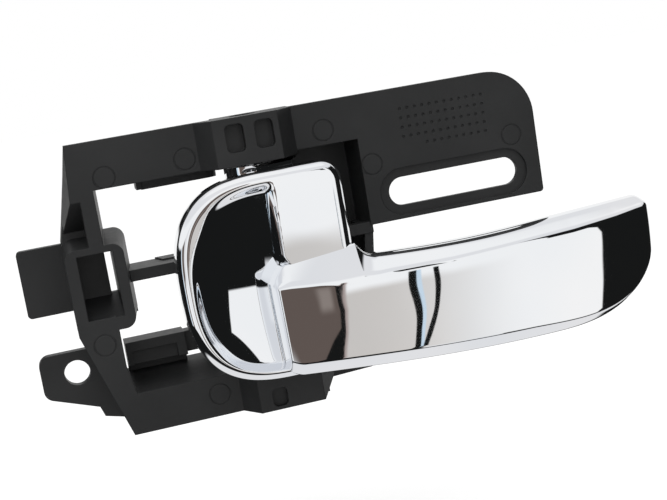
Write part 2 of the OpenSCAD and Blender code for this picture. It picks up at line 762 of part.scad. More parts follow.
module return_spring() {
  up = [0, 0, 1];
  color([0.55, 0.56, 0.58])
    skin(concat(
      [for (d = [cup_leg, cup_leg / 2])
        wire_ring(coil_centre(leg_start) - d * coil_along(leg_start), coil_along(leg_start), up, wire / 2)],
      [for (k = [0:coil_steps]) let (a = leg_start + k * (leg_finish - leg_start) / coil_steps)
        wire_ring(coil_centre(a), coil_along(a), up, wire / 2)],
      [for (d = [post_leg / 2, post_leg])
        wire_ring(coil_centre(leg_finish) + d * coil_along(leg_finish), coil_along(leg_finish),
          up, wire / 2)]));
}

// rubber plug that the lever rests against
module stop_buffer() {
  color([0.08, 0.08, 0.08])
    translate([buffer_x, 0, buffer_z])
      rotate([90, 0, 0]) {
        translate([0, 0, -back_wall_front])
          cylinder(r = buffer_radius, h = back_wall_front - buffer_face, $fn = round_fn);
        translate([0, 0, -back_wall_back - fine])
          cylinder(r = buffer_stem, h = back_wall_back - back_wall_front + 2 * fine, $fn = round_fn);
        translate([0, 0, -back_wall_back - 1.6])
          cylinder(r1 = buffer_stem - 0.4, r2 = buffer_stem + 0.6, h = 1.6, $fn = round_fn);
      }
}

bracket();
lever();
pivot_pin();
return_spring();
stop_buffer();
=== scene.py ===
"""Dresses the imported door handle: plated lever, grained bracket, steel hinge parts and a plain studio."""

from __future__ import annotations

import logging
import math
from dataclasses import dataclass
from enum import Enum
from typing import Any, Iterable, Sequence

import bpy
import numpy as np
from mathutils import Matrix, Vector

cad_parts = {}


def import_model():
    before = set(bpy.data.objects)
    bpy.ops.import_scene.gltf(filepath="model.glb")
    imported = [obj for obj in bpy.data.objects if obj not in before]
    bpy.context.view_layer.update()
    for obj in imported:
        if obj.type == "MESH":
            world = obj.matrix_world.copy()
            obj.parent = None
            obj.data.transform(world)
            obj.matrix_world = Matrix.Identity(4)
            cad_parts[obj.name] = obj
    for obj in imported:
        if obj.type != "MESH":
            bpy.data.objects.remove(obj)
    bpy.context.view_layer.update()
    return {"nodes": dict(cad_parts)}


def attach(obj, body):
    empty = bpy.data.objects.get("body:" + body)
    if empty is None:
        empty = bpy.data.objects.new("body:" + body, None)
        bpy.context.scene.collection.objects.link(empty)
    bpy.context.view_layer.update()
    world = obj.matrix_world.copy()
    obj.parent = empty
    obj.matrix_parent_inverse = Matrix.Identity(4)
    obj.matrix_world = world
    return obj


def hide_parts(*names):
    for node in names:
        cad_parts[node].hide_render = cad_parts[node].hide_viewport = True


LOG = logging.getLogger("door_handle")
MM = 0.001
CREASE_ANGLE = math.radians(32.0)


class Body(Enum):
    """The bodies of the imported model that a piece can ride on."""

    FRAME = "frame_body"
    LEVER = "lever_body"


class Slot(Enum):
    """The record's material slots; this script gives none of them to the new pieces."""

    PLATED = "plated_lever"
    SPRING = "spring_steel"


class Cut(Enum):
    """The ways in which one solid is combined with another."""

    JOIN = "UNION"
    REMOVE = "DIFFERENCE"


# Shader maths


@dataclass
class Value:
    """One output socket, which can be used in sums and products.

    Args:
        shader: The shader that the socket's node belongs to.
        socket: The output socket.
    """

    shader: "Shader"
    socket: Any

    def _math(self, operation: str, other: Any, swapped: bool = False) -> "Value":
        """Adds a Math node.

        Args:
            operation: The node's operation.
            other: The second number or value.
            swapped: True where the other comes first.

        Returns:
            The node's output.
        """
        pair = (other, self) if swapped else (self, other)
        return self.shader.node("ShaderNodeMath", {"operation": operation}, dict(enumerate(pair)))

    def __add__(self, other: Any) -> "Value":
        """Sum."""
        return self._math("ADD", other)

    def __sub__(self, other: Any) -> "Value":
        """Difference."""
        return self._math("SUBTRACT", other)

    def __rsub__(self, other: Any) -> "Value":
        """Difference from a number."""
        return self._math("SUBTRACT", other, swapped=True)

    def __mul__(self, other: Any) -> "Value":
        """Product."""
        return self._math("MULTIPLY", other)

    __radd__, __rmul__ = __add__, __mul__

    def over(self, limit: float) -> "Value":
        """How far the value lies above a limit.

        Args:
            limit: The limit.

        Returns:
            The difference, or 0 below the limit.
        """
        return (self - limit)._math("MAXIMUM", 0.0)

    def at_most(self, limit: float) -> "Value":
        """The value, held below a limit.

        Args:
            limit: The limit.

        Returns:
            The smaller of the two.
        """
        return self._math("MINIMUM", limit)

    def step(self, start: float, end: float) -> "Value":
        """A smooth step from 0 to 1.

        Args:
            start: Where the step is still 0.
            end: Where the step has reached 1.

        Returns:
            The stepped value.
        """
        low, high, first = (start, end, 0.0) if start < end else (end, start, 1.0)
        return self.shader.node(
            "ShaderNodeMapRange",
            {"interpolation_type": "SMOOTHSTEP"},
            {"Value": self, "From Min": low, "From Max": high, "To Min": first, "To Max": 1.0 - first},
        )

    def band(self, middle: float, half: float, soft: float) -> "Value":
        """A band that is 1 in its middle and 0 outside.

        Args:
            middle: The band's middle.
            half: Half of its width.
            soft: The width of each soft edge.

        Returns:
            The band.
        """
        return self.step(middle - half - soft, middle - half) * self.step(middle + half + soft, middle + half)


class Shader:
    """A node tree that is built by one node-making method."""

    def __init__(self, tree: Any) -> None:
        """Empties the tree.

        Args:
            tree: The node tree of a material or world.
        """
        self.tree = tree
        tree.nodes.clear()

    def node(self, kind: str, settings: dict[str, Any] | None = None, inputs: dict[Any, Any] | None = None,
             output: int | str = 0) -> Value:
        """Adds a node.

        Args:
            kind: The node's type.
            settings: Its own settings, which are set first.
            inputs: Numbers, colours or values for its sockets, by name or place.
            output: The output that is returned.

        Returns:
            One output of the node.
        """
        made = self.tree.nodes.new(kind)
        for name, setting in (settings or {}).items():
            setattr(made, name, setting)
        for name, given in (inputs or {}).items():
            socket = made.inputs[name]
            if isinstance(given, Value):
                self.tree.links.new(given.socket, socket)
            elif isinstance(given, tuple) and len(given) == 3 and socket.type == "RGBA":
                socket.default_value = (*given, 1.0)
            else:
                socket.default_value = given
        chosen = made.outputs[output] if len(made.outputs) else None
        return Value(self, chosen)

    def mix(self, factor: Any, first: Any, second: Any) -> Value:
        """Mixes two colours.

        Args:
            factor: How much of the second shows.
            first: The first colour.
            second: The second colour.

        Returns:
            The mixed colour.
        """
        return self.node("ShaderNodeMix", {"data_type": "RGBA"}, {0: factor, 6: first, 7: second}, output=2)

    def layers(self, ground: Any, painted: Iterable[tuple[Value, Any]]) -> Any:
        """Lays colours over a ground, one after the other.

        Args:
            ground: The colour below.
            painted: Pairs of how much of a colour shows, and the colour.

        Returns:
            The colour on top.
        """
        for factor, colour in painted:
            ground = self.mix(factor, ground, colour)
        return ground

    def noise(self, scale: float, detail: float = 2.0, roughness: float = 0.5) -> Value:
        """Adds noise on object coordinates.

        Args:
            scale: Cells per metre.
            detail: Octaves.
            roughness: Strength of the finer octaves.

        Returns:
            The noise, about 0.5 in the middle.
        """
        place = self.node("ShaderNodeTexCoord", output="Object")
        return self.node("ShaderNodeTexNoise", None,
                         {"Vector": place, "Scale": scale, "Detail": detail, "Roughness": roughness})


def new_material(name: str) -> tuple[Any, Shader]:
    """Makes an empty node material.

    Args:
        name: The material's name.

    Returns:
        The material and its shader.
    """
    material = bpy.data.materials.new(name)
    material.use_nodes = True
    return material, Shader(material.node_tree)


# Finishes


@dataclass(frozen=True)
class Plating:
    """Bright plating over a smooth moulding, with faint waves that bend what it mirrors."""

    name: str = "bright_plating"
    colour: tuple[float, float, float] = (0.93, 0.935, 0.95)
    tint: tuple[float, float, float] = (0.88, 0.9, 0.93)
    roughness: float = 0.016
    wave_scale: float = 55.0
    wave_height: float = 0.00004

    def build(self) -> Any:
        """Returns the material."""
        material, shader = new_material(self.name)
        film = shader.noise(24.0, 2.0)
        haze = shader.noise(900.0, 3.0)
        waves = shader.noise(self.wave_scale, 1.0)
        bump = shader.node("ShaderNodeBump", None,
                           {"Strength": 1.0, "Distance": self.wave_height, "Height": waves})
        surface = shader.node("ShaderNodeBsdfPrincipled", None, {
            "Base Color": shader.mix(film.step(0.35, 0.7), self.colour, self.tint),
            "Roughness": haze * 0.02 + self.roughness - 0.01,
            "Metallic": 1.0,
            "Normal": bump,
        })
        shader.node("ShaderNodeOutputMaterial", None, {"Surface": surface})
        return material


@dataclass(frozen=True)
class Moulding:
    """Black moulded plastic with a fine eroded grain and paler, slightly polished patches."""

    name: str = "black_moulding"
    colour: tuple[float, float, float] = (0.016, 0.0165, 0.017)
    pale: tuple[float, float, float] = (0.028, 0.0285, 0.029)
    roughness: float = 0.46
    grain_scale: float = 2600.0
    grain_height: float = 0.00003
    edge_radius: float = 0.0004

    def build(self) -> Any:
        """Returns the material."""
        material, shader = new_material(self.name)
        cloud = shader.noise(38.0, 3.0)
        grain = shader.noise(self.grain_scale, 2.0, 0.6)
        speckle = shader.noise(700.0, 2.0)
        edge = shader.node("ShaderNodeBevel", {"samples": 6}, {"Radius": self.edge_radius})
        bump = shader.node("ShaderNodeBump", None, {
            "Strength": 0.55, "Distance": self.grain_height, "Height": grain, "Normal": edge})
        surface = shader.node("ShaderNodeBsdfPrincipled", None, {
            "Base Color": shader.mix(cloud.step(0.3, 0.75) * 0.7 + speckle * 0.3, self.colour, self.pale),
            "Roughness": speckle * 0.16 + cloud * 0.1 + self.roughness - 0.13,
            "Normal": bump,
            "Specular IOR Level": 0.34,
        })
        shader.node("ShaderNodeOutputMaterial", None, {"Surface": surface})
        return material


@dataclass(frozen=True)
class Steel:
    """Plain bare steel with fine lines along the drawn or turned direction."""

    name: str
    colour: tuple[float, float, float] = (0.55, 0.56, 0.58)
    roughness: float = 0.28
    line_scale: float = 1800.0

    def build(self) -> Any:
        """Returns the material."""
        material, shader = new_material(self.name)
        place = shader.node("ShaderNodeTexCoord", output="Object")
        drawn = shader.node("ShaderNodeMapping", None, {"Vector": place, "Scale": (1.0, 1.0, 9.0)})
        lines = shader.node("ShaderNodeTexNoise", None,
                            {"Vector": drawn, "Scale": self.line_scale, "Detail": 2.0})
        stain = shader.noise(160.0, 3.0)
        dark = tuple(part * 0.72 for part in self.colour)
        bump = shader.node("ShaderNodeBump", None, {"Strength": 0.4, "Distance": 0.00002, "Height": lines})
        surface = shader.node("ShaderNodeBsdfPrincipled", None, {
            "Base Color": shader.mix(stain.step(0.4, 0.75), self.colour, dark),
            "Roughness": lines * 0.14 + self.roughness - 0.07,
            "Metallic": 1.0,
            "Normal": bump,
        })
        shader.node("ShaderNodeOutputMaterial", None, {"Surface": surface})
        return material


@dataclass(frozen=True)
class Rubber:
    """Soft black rubber with a dull bloom."""

    name: str = "soft_rubber"
    colour: tuple[float, float, float] = (0.018, 0.018, 0.019)
    bloom: tuple[float, float, float] = (0.04, 0.04, 0.042)

    def build(self) -> Any:
        """Returns the material."""
        material, shader = new_material(self.name)
        dust = shader.noise(300.0, 3.0)
        pores = shader.noise(3000.0, 2.0)
        bump = shader.node("ShaderNodeBump", None, {"Strength": 0.5, "Distance": 0.00003, "Height": pores})
        surface = shader.node("ShaderNodeBsdfPrincipled", None, {
            "Base Color": shader.mix(dust.step(0.45, 0.8), self.colour, self.bloom),
            "Roughness": dust * 0.1 + 0.72,
            "Normal": bump,
        })
        shader.node("ShaderNodeOutputMaterial", None, {"Surface": surface})
        return material


# Mesh helpers


def mesh_object(name: str, points: np.ndarray, faces: Iterable[Sequence[int]]) -> Any:
    """Makes an object from points in millimetres.

    Args:
        name: The object's name.
        points: An array of x, y, z rows.
        faces: Rows of point numbers, counter-clockwise from outside.

    Returns:
        The new object, linked to the scene.
    """
    mesh = bpy.data.meshes.new(name)
    mesh.from_pydata((np.asarray(points, float) * MM).tolist(), [], [list(face) for face in faces])
    mesh.validate()
    made = bpy.data.objects.new(name, mesh)
    bpy.context.scene.collection.objects.link(made)
    return made


def loft(name: str, rings: Sequence[np.ndarray]) -> Any:
    """Joins closed rings of equally many points by a skin, with a flat face at both ends.

    Args:
        name: The object's name.
        rings: The rings, each an array of x, y, z rows.

    Returns:
        The new object.
    """
    count, last = len(rings[0]), len(rings) - 1
    near = np.arange(count)
    far = (near + 1) % count
    faces: list[list[int]] = []
    for row in range(last):
        a, b = row * count, (row + 1) * count
        faces += np.stack([a + near, a + far, b + far, b + near], axis=1).tolist()
    faces += [near[::-1].tolist(), (last * count + near).tolist()]
    return mesh_object(name, np.concatenate(rings), faces)


def prism(name: str, outline: Sequence[tuple[float, float]], low: float, high: float) -> Any:
    """Pushes an outline in the top view upwards.

    Args:
        name: The object's name.
        outline: The x, y points, counter-clockwise from above.
        low: The lower height.
        high: The upper height.

    Returns:
        The new object.
    """
    flat = np.array(outline, float)
    return loft(name, [np.column_stack([flat, np.full(len(flat), z)]) for z in (low, high)])


def face_inward_out(piece: Any) -> None:
    """Turns a closed mesh right side out if it is inside out.

    Args:
        piece: The object.
    """
    mesh = piece.data
    volume = 0.0
    for face in mesh.polygons:
        first, *others = (mesh.vertices[k].co for k in face.vertices)
        for second, third in zip(others, others[1:]):
            volume += first.dot(second.cross(third))
    if volume < 0:
        mesh.flip_normals()


def combine(base: Any, other: Any, cut: Cut) -> None:
    """Joins another solid to a base or cuts it away, and deletes the other.

    Args:
        base: The object that is changed.
        other: The solid that is joined or cut away.
        cut: Which of the two is done.
    """
    face_inward_out(other)
    modifier = base.modifiers.new("combine", "BOOLEAN")
    modifier.operation, modifier.object, modifier.solver = cut.value, other, "MANIFOLD"
    graph = bpy.context.evaluated_depsgraph_get()
    graph.update()
    made = bpy.data.meshes.new_from_object(base.evaluated_get(graph))
    base.modifiers.clear()
    old, base.data = base.data, made
    bpy.data.meshes.remove(old)
    spare = other.data
    bpy.data.objects.remove(other)
    bpy.data.meshes.remove(spare)


def smooth(piece: Any, angle: float = CREASE_ANGLE) -> None:
    """Shades a mesh smooth, with sharp lines where its faces meet at more than the angle.

    Args:
        piece: The object.
        angle: The angle in radians.
    """
    mesh = piece.data
    mesh.polygons.foreach_set("use_smooth", np.ones(len(mesh.polygons), bool))
    mesh.set_sharp_from_angle(angle=angle)
    mesh.update()


def dress(piece: Any, material: Any) -> None:
    """Gives a piece one material.

    Args:
        piece: The object.
        material: The material.
    """
    piece.data.materials.clear()
    piece.data.materials.append(material)


def eased(value: Any) -> Any:
    """A smooth step of a number or array.

    Args:
        value: The number or array.

    Returns:
        0 where it is 0 or less, 1 where it is 1 or more, and a smooth rise between.
    """
    share = np.clip(value, 0.0, 1.0)
    return share * share * share * (share * (6.0 * share - 15.0) + 10.0)


def held(value: float) -> float:
    """Holds a number between 0 and 1.

    Args:
        value: The number.

    Returns:
        The held number.
    """
    return min(1.0, max(0.0, value))


def corner_round(start: tuple[float, float], corner: tuple[float, float], end: tuple[float, float],
                 steps: int) -> list[tuple[float, float]]:
    """Rounds a corner of a flat outline.

    Args:
        start: Where the round begins.
        corner: The sharp corner.
        end: Where the round ends.
        steps: The number of pieces.

    Returns:
        The points of the round, both ends included.
    """
    points = []
    for k in range(steps + 1):
        t = k / steps
        a, b, c = (1 - t) ** 2, 2 * t * (1 - t), t * t
        points.append((a * start[0] + b * corner[0] + c * end[0], a * start[1] + b * corner[1] + c * end[1]))
    return points


# Lever


@dataclass
class Hinge:
    """The hinge line and what runs along it, in millimetres."""

    x: float = 55.0
    y: float = -20.0
    low: float = -4.5
    high: float = 49.8
    hub_radius: float = 7.3
    bore_radius: float = 2.05


@dataclass
class Cup:
    """The cup: a rounded rim, a bowl on the left and a raised flat panel on the right."""

    hinge: Hinge
    left: float = 26.2
    right: float = 19.6
    top: float = 48.9
    bottom: float = -4.5
    squareness: float = 2.75
    lower_corner: float = 3.5
    upper_corner: float = 5.5
    front: float = 42.0
    back: float = 33.2
    rim_round: float = 2.6
    rim_width: float = 2.2
    rim_fall: float = 3.4
    low_reach: float = 1.7
    panel_left: float = 55.0
    panel_bottom: float = 22.4
    panel_corner: float = 5.0
    panel_edge: float = 2.4
    bowl_depth: float = 6.2
    bowl_x: float = 60.0
    bowl_z: float = 13.0
    bowl_curve: float = 0.00625
    bowl_rise: float = 0.2
    bowl_soft: float = 16.2
    side_limit: float = 22.4
    top_limit: float = 20.0
    side_ease: float = 0.11
    side_start: float = 71.4
    straight: float = 3.2
    hollow_inset: float = 3.6
    hollow_floor: float = 34.6
    neck_half: float = 8.0

    def outline(self, inset: float, angles: np.ndarray) -> np.ndarray:
        """The outline in the front view, moved inwards.

        Args:
            inset: How far inwards.
            angles: The places on the round end, in radians.

        Returns:
            An array of x, z rows.
        """
        middle, half = (self.top + self.bottom) / 2, (self.top - self.bottom) / 2
        power = 2 / self.squareness
        c, s = np.cos(angles), np.sin(angles)
        rows = [np.column_stack([
            self.hinge.x + (self.left - inset) * np.sign(c) * np.abs(c) ** power,
            middle + (half - inset) * np.sign(s) * np.abs(s) ** power])]
        side = self.hinge.x + self.right
        corners = (
            (side - self.lower_corner, self.bottom + self.lower_corner, self.lower_corner, -90.0, -1.0),
            (side - self.upper_corner, self.top - self.upper_corner, self.upper_corner, 0.0, 1.0),
        )
        ends = []
        for x, z, radius, start, up in corners:
            left_over = max(inset - radius + 0.4, 0.0)
            r = max(radius - inset, 0.4)
            turn = np.radians(start + np.linspace(0.0, 90.0, 15))
            ends.append(np.column_stack([x - left_over + r * np.cos(turn),
                                         z - up * left_over + r * np.sin(turn)]))
        first, second = ends
        rows.append(self._between(rows[0][-1], first[0], 34))
        rows.append(first)
        rows.append(self._between(first[-1], second[0], 60))
        rows.append(second)
        rows.append(self._between(second[-1], rows[0][0], 30))
        return np.concatenate(rows)

    @staticmethod
    def _between(start: np.ndarray, end: np.ndarray, count: int) -> np.ndarray:
        """Evenly spaced points between two points, without the two."""
        share = np.linspace(0.0, 1.0, count + 2)[1:-1, None]
        return start * (1 - share) + end * share

    def even_angles(self, count: int) -> np.ndarray:
        """Places on the round end that lie evenly along it.

        Args:
            count: How many.

        Returns:
            The angles in radians.
        """
        fine = np.radians(90.0 + 180.0 * (1 - np.cos(np.linspace(0, np.pi, 6001))) / 2)
        power = 2 / self.squareness
        c, s = np.cos(fine), np.sin(fine)
        x = self.left * np.sign(c) * np.abs(c) ** power
        z = (self.top - self.bottom) / 2 * np.sign(s) * np.abs(s) ** power
        run = np.concatenate([[0.0], np.cumsum(np.hypot(np.diff(x), np.diff(z)))])
        return np.interp(np.linspace(0.0, run[-1], count), run, fine)

    def dish(self, x: np.ndarray, z: np.ndarray) -> np.ndarray:
        """How far the front stands from the mounting face inside the rim.

        Args:
            x: Places along the handle.
            z: Heights.

        Returns:
            The distances.
        """
        across, up = np.maximum(self.bowl_x - x, 0.0), z - self.bowl_z
        side, top = self.side_limit, self.top_limit
        across = np.minimum(across, side) ** 2 + 2 * side * np.maximum(across - side, 0.0)
        rise = (np.hypot(np.minimum(up, top), self.bowl_soft) - self.bowl_soft
                + top / math.hypot(top, self.bowl_soft) * np.maximum(up - top, 0.0))
        bowl = self.front - self.bowl_depth + self.bowl_curve * across + self.bowl_rise * rise
        bowl = np.minimum(bowl, self.front - 0.1)
        dx = self.panel_left + self.panel_corner - x
        dz = self.panel_bottom + self.panel_corner - z
        away = (np.hypot(np.maximum(dx, 0.0), np.maximum(dz, 0.0)) + np.minimum(np.maximum(dx, dz), 0.0)
                - self.panel_corner)
        share = eased(0.5 - away / self.panel_edge)
        return bowl * (1 - share) + self.front * share

    def build(self) -> Any:
        """Makes the cup as one closed solid.

        Returns:
            The object.
        """
        angles = self.even_angles(190)
        rings = []
        wall = self.front - self.rim_round
        for inset, depth in ((0.6, self.back), (0.17, self.back + 0.18), (0.0, self.back + 0.7),
                             (0.0, self.back + self.straight), (0.0, wall)):
            rings.append(self._ring(inset, depth, angles))
        for turn in np.radians(np.arange(7.5, 90.1, 7.5)):
            inset = self.rim_width * (1 - math.cos(turn))
            rings.append(self._ring(inset, wall + self.rim_round * math.sin(turn), angles))
        for share in np.linspace(0.0, 1.0, 15)[1:]:
            inset = self.rim_width + self.rim_fall * share
            flat = self._lowered(self.outline(inset, angles), share)
            level = self.front + (self.dish(flat[:, 0], flat[:, 1]) - self.front) * eased(share)
            rings.append(np.column_stack([flat[:, 0], self._fall_back(flat[:, 0]) - level, flat[:, 1]]))
        inner = self._lowered(self.outline(self.rim_width + self.rim_fall, angles), 1.0)
        middle = np.array([self.hinge.x, (self.top + self.bottom) / 2])
        for share in np.linspace(0.0, 1.0, 78)[1:-1]:
            flat = inner + (middle - inner) * share
            rings.append(np.column_stack([flat[:, 0], -self.dish(flat[:, 0], flat[:, 1]), flat[:, 1]]))
        made = loft("cup", rings)
        face_inward_out(made)
        return made

    def _lowered(self, flat: np.ndarray, share: float) -> np.ndarray:
        """Moves the lowest part of an outline down by a share, where the rim is narrower."""
        down = self.low_reach * share * eased((9.0 - flat[:, 1]) / 8.0)
        return np.column_stack([flat[:, 0], flat[:, 1] - down])

    def _ring(self, inset: float, depth: float, angles: np.ndarray) -> np.ndarray:
        """One ring of the rim, which falls back towards the straight side."""
        flat = self.outline(inset, angles)
        ease = self._fall_back(flat[:, 0]) * held((depth - self.back - self.straight) / 2)
        return np.column_stack([flat[:, 0], ease - depth, flat[:, 1]])

    def _fall_back(self, x: np.ndarray) -> np.ndarray:
        """How far the front falls back towards the straight side."""
        return self.side_ease * np.maximum(0.0, x - self.side_start) ** 2

    def hollows(self) -> list[Any]:
        """The two hollows in the back of the cup, beside the neck.

        Returns:
            The cutting solids.
        """
        flat = self.outline(self.hollow_inset, self.even_angles(60))
        made = []
        for name, side in (("hollow_left", -1.0), ("hollow_right", 1.0)):
            edge = self.hinge.x + side * self.neck_half
            part = flat[side * (flat[:, 0] - self.hinge.x) > self.neck_half]
            ends = np.array([[edge, part[:, 1].min()], [edge, part[:, 1].max()]])
            if side > 0:
                part = part[np.argsort(np.arctan2(part[:, 1] - part[:, 1].mean(), part[:, 0] - edge))]
                ends = ends[::-1]
            loop = np.vstack([part, ends])
            made.append(loft(name, [np.column_stack([loop[:, 0], np.full(len(loop), -depth), loop[:, 1]])
                                    for depth in (self.hollow_floor, 20.0)]))
        return made


@dataclass
class Grip:
    """The grip: a bowed blade with a steep left end, a sloping shoulder on the cup and a rounded tip."""

    hinge: Hinge
    cup: Cup
    start: float = 51.7
    tip: float = 156.8
    cup_side: float = 74.6
    front: float = 45.6
    bow: float = 1.4
    end_run: float = 1.0
    end_drop: float = 9.0
    end_round: float = 2.5
    foot: float = 0.7
    end_lean: float = 0.02
    thickness: float = 9.0
    back_of_cup: float = 34.2
    cup_front: float = 42.0
    crown: float = 0.15
    tip_run: float = 32.0
    tip_round: float = 2.4
    shoulder_left: float = 24.4
    shoulder_right: float = 26.8
    shoulder_drop: float = 4.6
    corner_run: float = 4.2
    blade_high: float = 22.9
    blade_sag: float = 0.9
    low_left: float = -4.0
    low_lift: float = 1.4
    lowest: float = -7.8
    tip_high: float = 17.0
    back_round: float = 0.9
    hollow_front: float = -42.4

    def share(self, x: float) -> float:
        """The share of the grip's length at a place.

        Args:
            x: The place along the handle.

        Returns:
            The share, 0 at the left end and 1 at the tip.
        """
        return (x - self.start) / (self.tip - self.start)

    def face(self, x: float) -> float:
        """How far the front stands from the mounting face, along the middle.

        Args:
            x: The place along the handle.

        Returns:
            The distance.
        """
        share, short = self.share(x), 1 - held((x - self.start) / self.end_run)
        tip_in = held((x - self.tip + self.tip_round) / self.tip_round)
        drop = self.end_drop * (1 - (1 - short ** self.end_round) ** (1 / self.end_round))
        return (self.front - drop + self.bow * math.sin(math.pi * held(share * 1.04))
                - 2.2 * share ** 5 - self.tip_round * (1 - math.sqrt(1 - tip_in ** 2)))

    def upper(self, x: float) -> float:
        """The height of the upper outer edge.

        Args:
            x: The place along the handle.

        Returns:
            The height.
        """
        corner = held((x - self.start) / self.corner_run)
        along_cup = held((x - self.start) / (self.cup_side - self.start))
        on_cup = (self.shoulder_left + (self.shoulder_right - self.shoulder_left) * along_cup
                  - self.shoulder_drop * (1 - corner) ** 1.5)
        blade = (self.blade_high - self.blade_sag * math.sin(math.pi * held((x - self.cup_side - 4) / 52))
                 + 0.045 * max(0.0, x - self.tip + 26))
        past = held((x - self.cup_side) / 5.2)
        drop = held((x - self.tip + self.tip_round) / self.tip_round)
        level = on_cup if x < self.cup_side else blade + (self.shoulder_right - blade) * (1 - past) ** 2.2
        return level - self.tip_round * (1 - math.sqrt(1 - drop ** 2))

    def front_top(self, x: float) -> float:
        """The height at which the front face turns over at the top.

        Args:
            x: The place along the handle.

        Returns:
            The height.
        """
        along = (52, 53, 60, 68, 74, 82, 98, 116, 133, 146, 156.8)
        level = (20.0, 20.2, 19.4, 18.6, 18.6, 18.9, 18.7, 19.3, 19.8, 20.8, 22.2)
        return min(float(np.interp(x, along, level)), self.upper(x) - 0.9)

    def lower(self, x: float) -> float:
        """The height of the lower outer edge.

        Args:
            x: The place along the handle.

        Returns:
            The height.
        """
        bend = self.tip - self.tip_run
        if x < bend:
            left = self.low_left + self.low_lift * (1 - held((x - self.start) / 4.0)) ** 1.5
            fall = math.sin(math.pi / 2 * held((x - self.start) / (bend - self.start)))
            return left + (self.lowest - left) * fall
        rise = (1 - held((x - bend) / self.tip_run) ** 2.7) ** (1 / 2.7)
        return self.tip_high - (self.tip_high - self.lowest) * rise

    def section(self, x: float) -> np.ndarray:
        """The outline of the grip at one place. Left of the start it is the fillet that runs out on the dish.

        Args:
            x: The place along the handle.

        Returns:
            An array of x, y, z rows.
        """
        low, face = self.lower(x), self.face(x)
        high = max(self.upper(x), low + 1.2)
        tall = high - low
        front_top = min(max(self.front_top(x), low + 0.55 * tall), high - 0.3)
        front_low = low + min(3.3 - 1.4 * held((x - 118) / 38), 0.3 * tall)
        past = held((x - self.cup_side) / 6)
        thick = self.front - self.thickness - 0.9 * self.share(x) ** 3
        back = self.back_of_cup if x < self.cup_side else thick
        depth = face - back
        on_cup = face - self.cup_front + 0.3
        deep = min(max(on_cup + (4.5 - on_cup) * past, 0.4), 0.7 * depth)
        low_deep = min(3.4, 0.5 * depth)
        top = (-(face - deep), high)
        edge = (-face, front_top)
        slope = math.hypot(deep, high - front_top)
        top_round, edge_round = min(2.2 * past + 0.6, 0.4 * slope), min(1.5, 0.4 * slope)
        down = ((edge[0] - top[0]) / slope, (edge[1] - top[1]) / slope)
        r = self.back_round
        rows = [(-back, low + r), (-back, high - r)]
        rows += [(-back - r * (1 - math.cos(a)), high - r + r * math.sin(a))
                 for a in np.radians((22.5, 45, 67.5, 90))]
        rows += corner_round((top[0] + min(top_round, 0.3 * depth), high), top,
                             (top[0] + down[0] * top_round, high + down[1] * top_round), 8)
        under = edge_round * 0.8
        rows += corner_round((edge[0] - down[0] * edge_round, edge[1] - down[1] * edge_round), edge,
                             (-face, front_top - under), 10)
        first, last = front_top - under, front_low + 0.5
        middle, half = (first + last) / 2, (first - last) / 2
        for k in range(1, 40):
            z = first + (last - first) * k / 40
            rows.append((-face - self.crown * (1 - ((z - middle) / half) ** 2), z))
        fall = math.hypot(low_deep, front_low - low)
        turn, away = min(0.8, 0.4 * fall), (low_deep / fall, (low - front_low) / fall)
        rows += corner_round((-face, front_low + turn * 0.6), (-face, front_low),
                             (-face + away[0] * turn, front_low + away[1] * turn), 8)
        rows += corner_round((-face + low_deep - away[0] * turn * 2, low - away[1] * turn * 2),
                             (-face + low_deep, low), (-face + low_deep + turn, low), 8)
        rows += [(-back - r * (1 - math.sin(a)), low + r - r * math.cos(a))
                 for a in np.radians((22.5, 45, 67.5))]
        flat = np.array(rows)
        lean = self.end_lean * (1 - held((x - self.start) / 12)) ** 2
        along = x + lean * (20 - flat[:, 1])
        if x < self.start:
            climb = self.foot * (1 - math.sqrt(1 - held(1 - (self.start - x) / self.foot) ** 2)) - 0.02
            front = flat[:, 0] < -back - 1.0
            flat[front, 0] = -self.cup.dish(along[front], flat[front, 1]) - climb
        return np.column_stack([along, flat])

    def build(self) -> Any:
        """Makes the grip as one closed solid.

        Returns:
            The object.
        """
        bend = self.tip - self.tip_run
        foot = np.radians(90 - np.array([0.5, 10, 20, 30, 40, 50, 60, 70, 80, 88]))
        places = np.concatenate([
            self.start - self.foot * np.sin(foot) ** 2,
            self.start + self.end_run * (1 - np.cos(np.radians(np.arange(0.5, 90.1, 4.475)))),
            self.start + np.array([1.15, 1.35, 1.6, 1.95, 2.4]),
            np.arange(self.start + 2.9, self.cup_side - 0.2, 0.6),
            self.cup_side + np.array([-0.01, 0.01]),
            self.cup_side + np.arange(0.25, 6.2, 0.3),
            np.arange(self.cup_side + 6.6, bend, 0.7),
            bend + self.tip_run * np.sin(np.radians(np.arange(0, 84, 1.5))),
            self.tip - np.array([0.19, 0.14, 0.1, 0.065, 0.035, 0.015, 0.004])])
        made = loft("grip", [self.section(float(x)) for x in np.unique(np.round(places, 4))])
        face_inward_out(made)
        return made

    def hollows(self) -> list[Any]:
        """The three hollows in the back of the grip.

        Returns:
            The cutting solids.
        """
        made = []
        for k in range(3):
            x = self.cup_side + 5 + 21 * k
            outline = [(x, self.hollow_front), (x + 19, self.hollow_front), (x + 19, -20), (x, -20)]
            made.append(prism(f"grip_hollow_{k}", outline, -3.3, 15.2))
        return made


